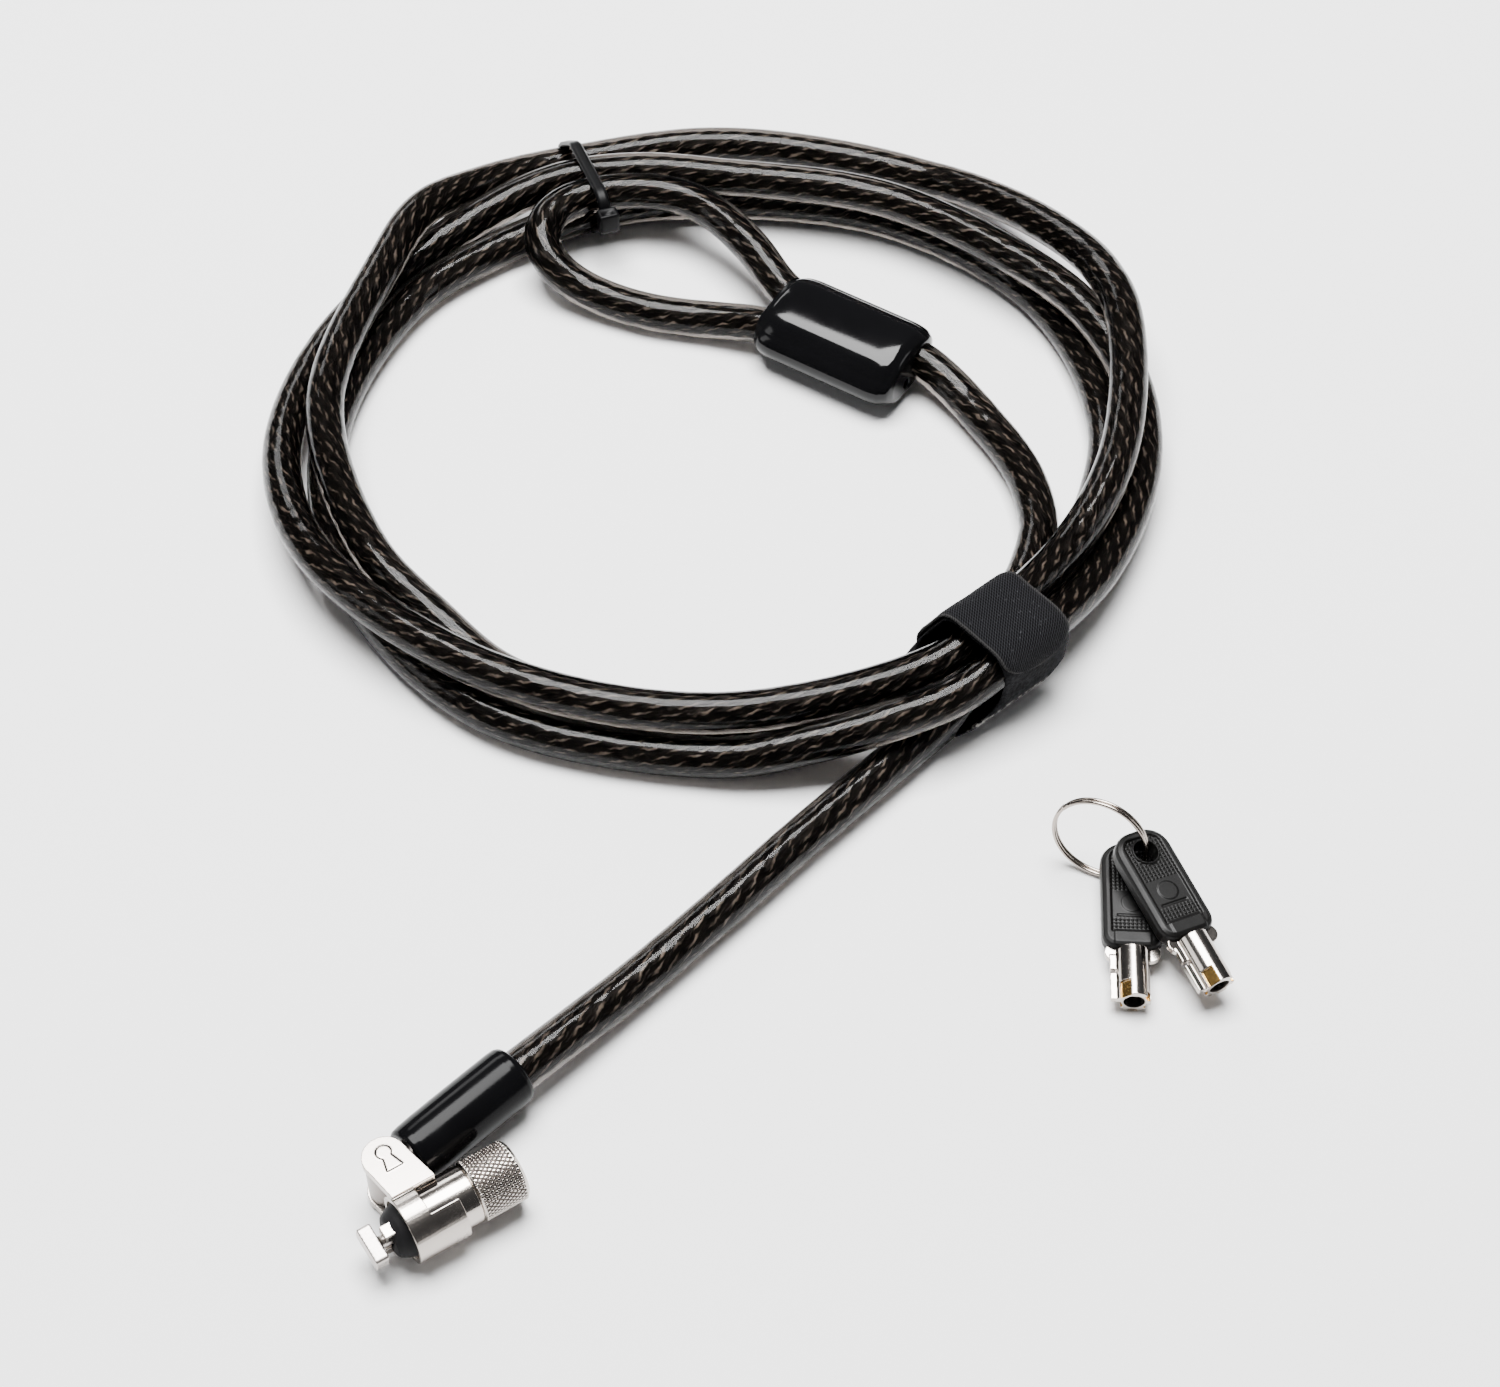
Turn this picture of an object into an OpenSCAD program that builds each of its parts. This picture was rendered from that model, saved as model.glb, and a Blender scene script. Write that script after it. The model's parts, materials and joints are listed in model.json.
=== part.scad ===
// Laptop cable lock: a T-bar lock head on a pivoting yoke, a coiled plastic-covered
// steel cable with an end loop, a hook-and-loop strap, a cable tie and two tubular keys.
// Millimetres, +Z up. Everything lies on the plane z = 0.

/* [Cable] */
// Diameter over the plastic sheath
cable_d = 7; // [5:0.5:8]
// Inner radius of the coil as it lies
coil_inner = 59.5; // [55:0.5:62]
// Outer radius of the coil as it lies
coil_outer = 84; // [82:0.5:90]
// Height of the three stacked turns
coil_height = 17.5; // [14:0.5:20]

/* [Strap and tie] */
// Width of the hook-and-loop strap along the cable
strap_width = 19; // [12:1:22]
// Thickness of the strap, two layers with their pile
strap_thick = 1.6; // [1:0.1:2.4]
// Width of the cable tie
tie_width = 2.4; // [2:0.1:4]
// Thickness of the cable tie
tie_thick = 1.1; // [0.8:0.1:1.6]

/* [Ferrule] */
// Length of the moulded cover over the crimp
ferrule_length = 30; // [26:1:34]
// Width of the cover, across both legs of the loop
ferrule_width = 20; // [18:0.2:21]
// Height of the cover
ferrule_height = 11.6; // [10.8:0.2:12]

/* [Lock head] */
// Outer radius of the yoke's ring
ring_r = 5.5; // [5.2:0.1:6]
// Radius of the lock sleeve that turns inside the yoke
sleeve_r = 4.65; // [4.4:0.05:4.8]
// Length of the knurled grip
grip_length = 7.8; // [5:0.2:8]
// Radius of the knurled grip
grip_r = 4.85; // [4.7:0.05:5]
// Length of the T-bar's crosswise head
tbar_length = 6.3; // [5.5:0.1:6.6]
// Width of the T-bar's head
tbar_width = 2.9; // [2.4:0.1:3]
// Thickness of the T-bar's head
tbar_thick = 2.2; // [1.6:0.1:2.4]
// Diameter of the boot on the cable's end
boot_d = 9.8; // [9:0.1:10]

/* [Keys] */
// Width of a key's head
head_width = 9.6; // [9:0.1:10.5]
// Length of a key's head
head_length = 20; // [18:0.5:22]
// Thickness of a key's head
head_thick = 3.3; // [3:0.1:3.4]
// Outer diameter of a key's tube
key_tube_d = 5.3; // [5:0.1:5.6]
// Bore of a key's tube
key_bore_d = 3.3; // [3.2:0.1:3.6]

/* [Hidden] */
$fn = 64;
eps = 0.01;

// Where the coil lies, and the sectors that the strap and the tie take up
coil_centre = [-14.5, 133, 0];
strap_angle = -49;
strap_mean_r = 73;
strap_sector = strap_width / strap_mean_r * 180 / PI;
tie_angle = 109.5;
tie_shift = 4.2;

// Strands inside the strap and the tie, as [distance from coil centre, height]
strap_bundle = [[66.4, 5.2], [77.6, 5.2], [70.4, 12.2], [78.4, 12]];
tie_bundle = [[57.8, 10.8], [64.2, 4.8], [78.5, 4.8], [72, 9.8]];

// Lock head: T-bar's front face, and the direction that the barrel points in
lock_origin = [-64.6, -37, 0];
lock_dir = 33.5;
axis_z = 5.5;
pivot = [8.7, 9.3];
boot_dir = 11;

// Stations along the barrel, from the T-bar's front face
pin_front = 2.7;
cone_front = 3.8;
cone_back = 6.4;
ring_front = 6;
ring_back = 9.8;
skirt_back = 14.5;
sleeve_back = 17.2;
grip_back = sleeve_back + grip_length;
shear_line = 12.6;
plug_back = 16.6;
ear_thick = 1.5;
ear_top = 10.9;
bore_r = sleeve_r + 0.08;
pivot_r = 1.5;
neck_r = 1;
tbar_tilt = 10;
tumblers = 7;
tumbler_circle = 2.2;
tumbler_r = 0.42;
post_r = 1.55;

// Cable routes, [x, y, z]
lock_tail_route = [
    [-52.7, -15, 5.5], [-44.5, -6.8, 5.5], [-38, -0.2, 4.9], [-27, 11.2, 3.6],
    [-13, 26, 3.5], [-1, 39.1, 3.5], [11, 51.5, 3.5], [22.4, 63.4, 3.5]
];
ferrule_tail_route = [
    [42, 108, 3.5], [41.8, 114, 3.5], [40.4, 121, 3.5], [37.6, 128, 3.5], [34.4, 133.8, 3.6],
    [30.8, 139.6, 4], [26.8, 144.6, 5], [22.6, 148.6, 5.9], [14.2, 154, 6.2]
];
loop_route = [
    [1.8, 153.4, 5.6], [-6.6, 158.4, 5.4], [-14, 161, 4.2], [-21, 162.6, 3.6], [-28, 164.2, 3.6],
    [-35.4, 167.1, 3.8], [-41.8, 170.2, 5], [-46.2, 173.2, 7.2], [-48.6, 177.8, 9.6], [-47.2, 183.6, 10.6],
    [-42.8, 187.8, 10.8], [-36, 190, 10.8], [-28, 190.2, 10.8], [-21, 188.4, 10.6],
    [-14.9, 183.7, 10.2], [-8.4, 175.8, 9], [-2.2, 166.3, 7], [5.7, 159.6, 6.4]
];

ferrule_centre = [8.3, 153.5, 6.16];
ferrule_dir = -33;
ferrule_roll = 5;
leg_offset = 3.55;

// Keys: the hole's place, then heading, nose-down tilt and roll
key_hole_at = 4.2;
key_hole_d = 4.0;
key_tube_out = 9.2;
key_1_place = [[51.9, 33, 3.9], [0, 2.6, -92.8]];
key_2_place = [[53.6, 32.1, 8.4], [-6, 8.5, -65.5]];
ring_centre = [47, 35.8, 8.3];
key_ring_r = 7.75;
ring_wire_r = 0.36;
ring_gap = 0.66;
ring_lean = 83;
ring_heading = -25;

// ---- helpers ----

function unit(v) = v / norm(v);

function heading(route, i) =
    unit(route[min(i + 1, len(route) - 1)] - route[max(i - 1, 0)]);

function hoop(centre, along, r, sides) =
    let (side = unit(cross(along, [0, 0, 1])), up = cross(side, along))
    [for (k = [0:sides - 1]) centre + r * (cos(360 * k / sides) * side + sin(360 * k / sides) * up)];

// Closed tube swept along a route, one ring of corners for each point
module tube(route, d, sides = 12) {
    rings = len(route);
    corners = [for (i = [0:rings - 1]) each hoop(route[i], heading(route, i), d / 2, sides)];
    walls = [for (i = [0:rings - 2], k = [0:sides - 1])
        let (a = i * sides + k, b = i * sides + (k + 1) % sides) [a, b, b + sides, a + sides]];
    first = [[for (k = [sides - 1:-1:0]) k]];
    last = [[for (k = [0:sides - 1]) (rings - 1) * sides + k]];
    polyhedron(corners, concat(first, walls, last), convexity = 6);
}

// Lock head's own frame: x along the barrel, y towards the pivot, z up
module lock_frame() {
    translate(lock_origin) rotate([0, 0, lock_dir]) children();
}

// Same frame turned so that z runs along the barrel's axis, x points down, y to the pivot
module barrel_frame(from = 0) {
    lock_frame() translate([from, 0, axis_z]) rotate([0, 90, 0]) children();
}

// Frame of the boot: z along the cable from the pivot
module boot_frame(from = 0) {
    lock_frame() translate([pivot.x, pivot.y, axis_z]) rotate([0, 0, boot_dir])
        translate([from, 0, 0]) rotate([0, 90, 0]) children();
}

module coil_frame(angle = 0) {
    translate(coil_centre) rotate([0, 0, angle]) children();
}

module ferrule_frame(from = 0) {
    translate(ferrule_centre) rotate([0, 0, ferrule_dir]) rotate([ferrule_roll, 0, 0])
        translate([from, 0, 0]) children();
}

module key_frame(place) {
    translate(place[0]) rotate(place[1]) translate([-key_hole_at, 0, 0]) children();
}

module pipe(r_out, r_in, h) {
    difference() {
        cylinder(r = r_out, h = h);
        translate([0, 0, -eps]) cylinder(r = r_in, h = h + 2 * eps);
    }
}

module around(count, r) {
    for (i = [0:count - 1]) rotate([0, 0, 360 / count * (i + 0.5)]) translate([r, 0, 0]) children();
}

// ---- cable ----

// Cross-section that encloses a bundle of strands, grown by extra
module bundle_outline(bundle, extra) {
    hull() for (p = bundle) translate(p) circle(r = cable_d / 2 + extra, $fn = 24);
}

module coil_outline() {
    corner = 4;
    hull() {
        translate([coil_inner + corner, corner]) circle(r = corner, $fn = 24);
        translate([coil_outer - corner, corner]) circle(r = corner, $fn = 24);
        translate([coil_inner + 7, coil_height - corner]) circle(r = corner, $fn = 24);
        translate([coil_outer - 7, coil_height - corner]) circle(r = corner, $fn = 24);
    }
}

module cable_coil() {
    color("#26221f") {
        coil_frame(strap_angle + strap_sector / 2) rotate_extrude(angle = 360 - strap_sector, $fn = 96)
            coil_outline();
        coil_frame(strap_angle - strap_sector / 2 - 1) rotate_extrude(angle = strap_sector + 2, $fn = 96)
            bundle_outline(strap_bundle, -0.05);
    }
}

module cable_lock_tail() {
    color("#26221f") tube(lock_tail_route, cable_d);
}

module cable_ferrule_tail() {
    color("#26221f") tube(ferrule_tail_route, cable_d);
}

module cable_loop() {
    color("#26221f") tube(loop_route, cable_d);
}

module strap() {
    color("#1b1b1c") coil_frame(strap_angle - strap_sector / 2)
        rotate_extrude(angle = strap_sector, $fn = 96) difference() {
            bundle_outline(strap_bundle, strap_thick);
            bundle_outline(strap_bundle, 0);
        }
}

// Tie round the coil and the loop: a flat band and its locking head
module cable_tie() {
    color("#151515") coil_frame(tie_angle)
        translate([0, tie_shift + tie_width / 2, 0]) rotate([90, 0, 0]) {
        linear_extrude(tie_width) difference() {
            bundle_outline(tie_bundle, tie_thick);
            bundle_outline(tie_bundle, 0.02);
        }
        translate([51.2, 9, -0.9]) cube([3, 4.6, tie_width + 1.8]);
    }
}

// ---- ferrule ----

module oval(length, width, height, r) {
    half = width / 2 - height / 2;
    hull() for (side = [-1, 1]) translate([0, side * half, 0]) rotate([0, 90, 0])
        rotate_extrude($fn = 40) polygon([
            [0, -length / 2], [height / 2 - r, -length / 2], [height / 2 - 0.3 * r, -length / 2 + 0.3 * r],
            [height / 2, -length / 2 + r], [height / 2, length / 2 - r],
            [height / 2 - 0.3 * r, length / 2 - 0.3 * r], [height / 2 - r, length / 2], [0, length / 2]
        ]);
}

module ferrule_cover() {
    color("#101010") difference() {
        ferrule_frame() oval(ferrule_length, ferrule_width, ferrule_height, 2);
        ferrule_frame() cube([24.2, 13.6, 7.8], center = true);
        for (side = [-1, 1]) ferrule_frame(-ferrule_length / 2 - 1) translate([0, side * leg_offset, 0])
            rotate([0, 90, 0]) cylinder(r = cable_d / 2, h = 8);
        ferrule_frame(ferrule_length / 2 - 7) translate([0, leg_offset, 0])
            rotate([0, 90, 0]) cylinder(r = cable_d / 2, h = 8);
        ferrule_frame(ferrule_length / 2 - 7) translate([0, -2.2, -1.8]) rotate([0, 90, 0])
            cylinder(r = 1.1, h = 8);
    }
}

// Aluminium sleeve pressed round both legs
module crimp_sleeve() {
    color("#b9babc") ferrule_frame() difference() {
        cube([24, 13.4, 7.6], center = true);
        for (side = [-1, 1]) translate([-13, side * 3.1, 0]) rotate([0, 90, 0]) cylinder(r = 2.6, h = 26);
    }
}

// ---- lock head: cable end and yoke ----

module boot() {
    start = 4.1;
    finish = 25.3;
    r = boot_d / 2;
    rim = 0.9;
    color("#0d0d0d") difference() {
        boot_frame() rotate_extrude() polygon(concat(
            [[0, start], [r - 0.5, start], [r - 0.1, start + 1.4], [r, start + 6], [r, finish - rim]],
            [for (a = [15:15:90]) [r - rim + rim * cos(a), finish - rim + rim * sin(a)]],
            [[0, finish]]));
        boot_frame(13.4) cylinder(r = cable_d / 2, h = 14);
        boot_frame() cylinder(r = 2.6, h = 13.5);
        lock_frame() translate([pivot.x, pivot.y, -1]) cylinder(r = 4.35, h = 14);
    }
}

// Steel eye on the pivot, with a hollow shank that grips the rope
module cable_lug() {
    color("#a9a49c") difference() {
        union() {
            lock_frame() translate([pivot.x, pivot.y, axis_z - 3.7]) cylinder(r = 3.1, h = 7.4);
            boot_frame(1.9) cylinder(r = 2.6, h = 10.4);
        }
        lock_frame() translate([pivot.x, pivot.y, 0]) cylinder(r = pivot_r + 0.04, h = 12);
        boot_frame(4.4) cylinder(r = 2, h = 12);
    }
}

module rope_end() {
    color("#8d8a86") boot_frame(4.6) cylinder(r = 2, h = 8.7);
}

// Where a flank from p meets the circle round c
function touch(c, r, p, side) =
    let (d = norm(p - c), a = atan2(p.y - c.y, p.x - c.x) + side * acos(r / d))
    c + r * [cos(a), sin(a)];

module ear_outline() {
    r = 3.4;
    foot_near = [6.3, 2.6];
    foot_far = [13.4, 2.6];
    translate(pivot) circle(r = r);
    polygon([foot_near, foot_far, touch(pivot, r - 0.05, foot_far, 1), touch(pivot, r - 0.05, foot_near, -1)]);
}

// Plain keyhole emblem raised on the upper ear
module emblem() {
    translate([pivot.x + 0.2, pivot.y + 0.6, 0]) cylinder(r = 1.15, h = 0.18);
    translate([pivot.x + 0.3, pivot.y - 2.6, 0]) linear_extrude(0.18)
        polygon([[-1.2, 0], [1.4, 0], [0.5, 3], [-0.5, 3]]);
}

module yoke() {
    color("#c9c4bc") difference() {
        union() {
            barrel_frame(ring_front) cylinder(r = ring_r, h = ring_back - ring_front);
            barrel_frame(ring_back - 0.3) rotate([0, 0, 207]) rotate_extrude(angle = 180)
                translate([sleeve_r, 0]) square([ring_r - sleeve_r, skirt_back - ring_back + 0.3]);
            lock_frame() translate([0, 0, ear_top - ear_thick]) linear_extrude(ear_thick) ear_outline();
            lock_frame() translate([0, 0, 2 * axis_z - ear_top]) linear_extrude(ear_thick) ear_outline();
            lock_frame() translate([0, 0, ear_top - eps]) emblem();
        }
        barrel_frame(ring_front - 2) cylinder(r = bore_r, h = 12);
        barrel_frame(7.4) cylinder(r = 5.12, h = 0.9);
        lock_frame() translate([pivot.x, pivot.y, -1]) cylinder(r = pivot_r, h = ear_top);
    }
}

module pivot_pin() {
    color("#b8b2a8") lock_frame() translate([pivot.x, pivot.y, 2 * axis_z - ear_top])
        cylinder(r = pivot_r, h = ear_top - 1 - (2 * axis_z - ear_top));
}

// ---- lock head: barrel ----

module lock_sleeve() {
    color("#d2cdc6") difference() {
        barrel_frame(cone_back) cylinder(r = sleeve_r, h = sleeve_back - cone_back);
        barrel_frame(cone_back - 1) cylinder(r = 3.9, h = 14);
        barrel_frame(7.5) pipe(6, 4.2, 0.7);
    }
}

// Open spring ring that holds the yoke on the sleeve
module snap_ring() {
    color("#8f8c88") barrel_frame(7.53) rotate([0, 0, 20]) rotate_extrude(angle = 320)
        translate([4.22, 0]) square([0.78, 0.64]);
}

module guide_post(extra, from, to) {
    for (side = [-1, 1]) barrel_frame(from) rotate([0, 0, tbar_tilt]) translate([side * 2.25 - 1.05 - extra,
        -1.05 - extra, 0]) cube([2.1 + 2 * extra, 2.1 + 2 * extra, to - from]);
}

module nose_cone() {
    color("#191919") difference() {
        barrel_frame(cone_front) rotate_extrude() polygon([[0, 0], [2.9, 0], [3.3, 0.25], [3.9, 1.2],
            [4.35, 2.4], [4.45, cone_back - cone_front], [0, cone_back - cone_front]]);
        guide_post(0, cone_front - 1, cone_back + 1);
        barrel_frame(cone_front - 1) cylinder(r = neck_r + 0.25, h = 6);
    }
}

// Two square pins that stop the T-bar's slot from turning on the lock, on one disc
module guide_pins() {
    color("#c4bfb7") {
        difference() {
            barrel_frame(cone_back) cylinder(r = 3.9, h = 1.2);
            barrel_frame(cone_back - 1) cylinder(r = neck_r + 0.1, h = 4);
        }
        guide_post(0, pin_front, cone_back + eps);
    }
}

module knurled_grip() {
    chamfer = 0.5;
    r = grip_r;
    color("#bdb6ad") difference() {
        barrel_frame(sleeve_back) rotate_extrude() polygon([[0, 0], [r - chamfer, 0], [r, chamfer],
            [r, grip_length - chamfer], [r - chamfer, grip_length], [0, grip_length]]);
        barrel_frame(sleeve_back - 1) cylinder(r = key_tube_d / 2 + 0.2, h = grip_length + 2);
        barrel_frame(sleeve_back - 1) translate([-0.7, -key_tube_d / 2 - 1, 0])
            cube([1.4, 2, grip_length + 2]);
    }
}

module pin_housing() {
    color("#c2a15a") difference() {
        barrel_frame(cone_back + 1.2) cylinder(r = 3.9, h = shear_line - cone_back - 1.2 - 0.02);
        barrel_frame(cone_back) cylinder(r = neck_r + 0.1, h = 10);
        barrel_frame(shear_line - 4.6) around(tumblers, tumbler_circle) cylinder(r = tumbler_r + 0.04, h = 6);
    }
}

module driver_pins() {
    color("#9f9f9d") barrel_frame(shear_line - 1.8) around(tumblers, tumbler_circle)
        cylinder(r = tumbler_r, h = 1.76);
}

module pin_springs() {
    color("#8c8c8c") barrel_frame(shear_line - 4.58) around(tumblers, tumbler_circle) pipe(0.4, 0.25, 2.76);
}

// T-bar, neck and shaft in one piece, ending in a flat drive tongue
module spindle() {
    color("#cfcac3") {
        barrel_frame() rotate([0, 0, tbar_tilt]) linear_extrude(tbar_thick) hull()
            for (x = [-1, 1], y = [-1, 1]) translate([x * (tbar_width / 2 - 0.5), y * (tbar_length / 2 - 0.5)])
                circle(r = 0.5, $fn = 24);
        barrel_frame(tbar_thick - eps) cylinder(r = neck_r, h = shear_line - tbar_thick + eps);
        barrel_frame(shear_line - eps) translate([-0.5, -0.8, 0]) cube([1, 1.6, 2]);
    }
}

module lock_plug() {
    color("#c8aa64") difference() {
        barrel_frame(shear_line + 0.02) cylinder(r = 3.8, h = plug_back - shear_line);
        barrel_frame(shear_line - 1) translate([-0.5, -0.8, 0]) cube([1, 1.6, 3]);
        barrel_frame(plug_back - 2) cylinder(r = post_r - 0.35, h = 3);
        barrel_frame(shear_line - 1) around(tumblers, tumbler_circle) cylinder(r = tumbler_r + 0.04, h = 8);
    }
}

module key_pins() {
    color("#a7a39b") barrel_frame(shear_line + 0.04) around(tumblers, tumbler_circle)
        cylinder(r = tumbler_r, h = plug_back - shear_line - 0.04);
}

module centre_post() {
    color("#c9c4bc") {
        barrel_frame(plug_back - 2) cylinder(r = post_r - 0.35, h = 2.1);
        barrel_frame(plug_back + 0.04) cylinder(r = post_r, h = grip_back - plug_back - 0.5);
    }
}

// ---- keys ----

// Split ring of two turns of wire, standing in the keys' holes
module key_ring() {
    color("#b7b0a6") translate(ring_centre) rotate([0, 0, ring_heading]) rotate([ring_lean, 0, 0])
        rotate_extrude() for (side = [-1, 1]) translate([key_ring_r, side * ring_gap / 2])
            circle(r = ring_wire_r, $fn = 24);
}

module key_head_shape() {
    soft = 0.9;
    r = 3.9;
    color("#1c1c1c") difference() {
        hull() for (x = [r, head_length - 2.6], side = [-1, 1]) {
            corner = x == r ? r : 2.6;
            translate([x, side * (head_width / 2 - corner), 0])
                rotate_extrude($fn = 32) polygon([[0, -head_thick / 2], [corner - soft, -head_thick / 2],
                    [corner - 0.25, -head_thick / 2 + 0.3], [corner, -head_thick / 2 + soft],
                    [corner, head_thick / 2 - soft], [corner - 0.25, head_thick / 2 - 0.3],
                    [corner - soft, head_thick / 2], [0, head_thick / 2]]);
        }
        translate([key_hole_at, 0, -5]) cylinder(d = key_hole_d, h = 10);
        translate([head_length - 6, 0, 0]) rotate([0, 90, 0]) cylinder(d = 2.4, h = 10);
        translate([head_length - 6, -3.9, -0.5]) cube([8, 7.8, 1]);
    }
}

// Cuts at the tip of a key's tube, as [turn round the tube, depth along it, width]
key_cuts = [[38, 2.8, 2], [-62, 1.1, 1.4], [112, 1.8, 1.4], [178, 2.2, 1.2], [-118, 1.4, 1.2]];

// Root plate: flat, with round corners beside the tube
module key_plate() {
    out = 1.9;
    translate([head_length - 6, -3.9, -0.5]) cube([6.5, 7.8, 1]);
    translate([head_length + 0.02, 0, -0.5]) linear_extrude(1) {
        translate([0, -4.4]) square([out - 1.6, 8.8]);
        translate([0, -2.8]) square([out, 5.6]);
        for (side = [-1, 1]) translate([out - 1.6, side * 2.8]) circle(r = 1.6);
    }
}

// Nickel-plated tube with a flat root plate, a guide rib and cuts at its end
module key_tube_shape() {
    tip = head_length + key_tube_out;
    r = key_tube_d / 2;
    color("#cdc6bb") difference() {
        union() {
            translate([head_length + 0.02, 0, 0]) rotate([0, 90, 0]) cylinder(r = r, h = key_tube_out - 0.02);
            translate([head_length - 6, 0, 0]) rotate([0, 90, 0]) cylinder(d = 2.4, h = 6.5);
            key_plate();
            translate([head_length + 1, -r - 1, -0.55]) cube([2.6, 2, 1.1]);
            translate([tip - 5, -r - 1, -0.55]) cube([4.8, 2, 1.1]);
        }
        translate([head_length, 0, 0]) rotate([0, 90, 0]) cylinder(d = key_bore_d, h = 20);
        for (cut = key_cuts) translate([tip - cut[1], 0, 0]) rotate([cut[0], 0, 0])
            translate([0, -cut[2] / 2, r - 0.6]) cube([5, cut[2], 2]);
    }
}

module key_1_head() {
    key_frame(key_1_place) key_head_shape();
}

module key_1_tube() {
    key_frame(key_1_place) key_tube_shape();
}

module key_2_head() {
    key_frame(key_2_place) key_head_shape();
}

module key_2_tube() {
    key_frame(key_2_place) key_tube_shape();
}

cable_coil();
cable_lock_tail();
cable_ferrule_tail();
cable_loop();
ferrule_cover();
crimp_sleeve();
strap();
cable_tie();
boot();
cable_lug();
rope_end();
yoke();
pivot_pin();
lock_sleeve();
snap_ring();
nose_cone();
guide_pins();
knurled_grip();
pin_housing();
driver_pins();
pin_springs();
spindle();
lock_plug();
key_pins();
centre_post();
key_ring();
key_1_head();
key_1_tube();
key_2_head();
key_2_tube();
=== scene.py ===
import json
import math

import bpy
import bmesh
import numpy as np
from mathutils import Matrix, Vector, noise


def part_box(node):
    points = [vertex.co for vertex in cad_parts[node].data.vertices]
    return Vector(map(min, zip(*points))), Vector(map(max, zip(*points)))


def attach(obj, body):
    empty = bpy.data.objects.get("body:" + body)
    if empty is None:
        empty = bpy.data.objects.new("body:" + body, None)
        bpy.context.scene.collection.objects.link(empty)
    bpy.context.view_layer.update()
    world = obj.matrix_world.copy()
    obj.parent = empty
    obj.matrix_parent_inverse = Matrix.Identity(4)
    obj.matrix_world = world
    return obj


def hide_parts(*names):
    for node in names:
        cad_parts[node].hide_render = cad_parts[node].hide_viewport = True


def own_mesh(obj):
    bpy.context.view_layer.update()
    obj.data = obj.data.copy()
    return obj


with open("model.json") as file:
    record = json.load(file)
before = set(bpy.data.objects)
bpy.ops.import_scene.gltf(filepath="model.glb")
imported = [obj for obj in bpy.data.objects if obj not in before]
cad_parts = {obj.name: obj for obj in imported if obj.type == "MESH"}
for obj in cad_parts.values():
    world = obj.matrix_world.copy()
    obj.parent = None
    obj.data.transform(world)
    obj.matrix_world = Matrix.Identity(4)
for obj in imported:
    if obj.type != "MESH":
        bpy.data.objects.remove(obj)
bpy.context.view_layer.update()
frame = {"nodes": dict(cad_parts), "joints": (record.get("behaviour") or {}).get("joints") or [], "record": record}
nodes = frame["nodes"]
joints = {j["name"]: j for j in frame["joints"]}
mounts = {m["name"]: m for m in frame["record"]["mounts"]}
scene = bpy.context.scene

MM = 0.001

# ---- camera ----

CAMERA_AT = (-0.009, -0.2508, 0.38586)
CAMERA_ELEVATION = 50
CAMERA_LENS = 71.05

camera_data = bpy.data.cameras.new("camera")
camera_data.lens = CAMERA_LENS
camera_data.sensor_width = 36
camera_data.clip_start = 0.01
camera_data.clip_end = 20
camera = bpy.data.objects.new("camera", camera_data)
camera.location = CAMERA_AT
camera.rotation_euler = (math.radians(90 - CAMERA_ELEVATION), 0, 0)
scene.collection.objects.link(camera)
scene.camera = camera

# ---- helpers for node materials ----


def make(tree, kind, *values, **props):
    """A shader node with its properties set and its inputs fed in order."""
    made = tree.nodes.new("ShaderNode" + kind)
    for key, value in props.items():
        setattr(made, key, value)
    for socket, value in zip(made.inputs, values):
        feed(tree, socket, value)
    return made


def feed(tree, socket, value):
    if value is None:
        return
    if isinstance(value, bpy.types.NodeSocket):
        tree.links.new(value, socket)
    else:
        socket.default_value = value


def calc(tree, operation, *values):
    return make(tree, "Math", *values, operation=operation).outputs[0]


def mapped(tree, value, low, high, to_low=0.0, to_high=1.0):
    """A value taken from one range to another, clamped."""
    return make(tree, "MapRange", value, low, high, to_low, to_high).outputs[0]


def mixed(tree, factor, colour_a, colour_b):
    made = tree.nodes.new("ShaderNodeMix")
    made.data_type = "RGBA"
    feed(tree, made.inputs[0], factor)
    feed(tree, made.inputs[6], rgba(colour_a))
    feed(tree, made.inputs[7], rgba(colour_b))
    return made.outputs[2]


def rgba(colour):
    if isinstance(colour, tuple) and len(colour) == 3:
        return (*colour, 1.0)
    return colour


def speckle(tree, scale, detail=3.0, rough=0.55, vector=None):
    """Noise, in the piece's own coordinates where no others are given."""
    if vector is None:
        vector = make(tree, "TexCoord").outputs["Object"]
    return make(tree, "TexNoise", vector, None, scale, detail, rough).outputs["Fac"]


def uv_parts(tree, uv_map="UVMap"):
    """The two UV values, along a piece and across it or round it."""
    parts = make(tree, "SeparateXYZ", make(tree, "UVMap", uv_map=uv_map).outputs[0]).outputs
    return parts[0], parts[1]


def from_middle(tree, value, middle):
    return calc(tree, "ABSOLUTE", calc(tree, "SUBTRACT", value, middle))


def material(name, **shader):
    """A Principled material: its tree and shader, with constants set on the sockets."""
    made = bpy.data.materials.new(name)
    made.use_nodes = True
    tree = made.node_tree
    bsdf = tree.nodes["Principled BSDF"]
    for key, value in shader.items():
        feed(tree, bsdf.inputs[key.replace("_", " ")], rgba(value))
    return made, tree, bsdf


def bump(tree, bsdf, height, strength, distance):
    made = make(tree, "Bump")
    made.inputs["Strength"].default_value = strength
    made.inputs["Distance"].default_value = distance
    tree.links.new(height, made.inputs["Height"])
    tree.links.new(made.outputs[0], bsdf.inputs["Normal"])


# ---- materials ----


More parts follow.
